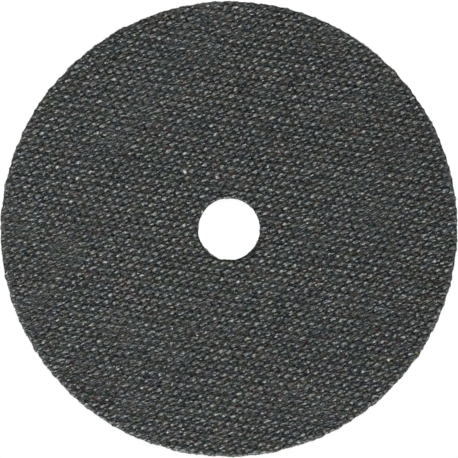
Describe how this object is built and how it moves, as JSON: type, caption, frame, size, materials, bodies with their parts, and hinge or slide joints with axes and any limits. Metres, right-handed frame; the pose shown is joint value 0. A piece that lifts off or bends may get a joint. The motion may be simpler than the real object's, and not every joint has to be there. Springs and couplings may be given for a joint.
{
  "type": "cut-off wheel",
  "caption": "Thin round resin-bonded abrasive cut-off wheel with a plain spindle bore and a woven cloth imprint on its face, for cutting metal with a small grinder.",
  "frame": {"origin": "centre of the bore at half the thickness", "axes": "+Z along the bore's axis, out of the front face with the cloth imprint; the imprint's threads run 25 degrees up from +X"},
  "size_m": [0.075, 0.075, 0.0012],
  "materials": {
    "grit": "rough black resin-bonded grit"
  },
  "bodies": {
    "root": {"cut_off_wheel": "grit"}
  },
  "joints": []
}
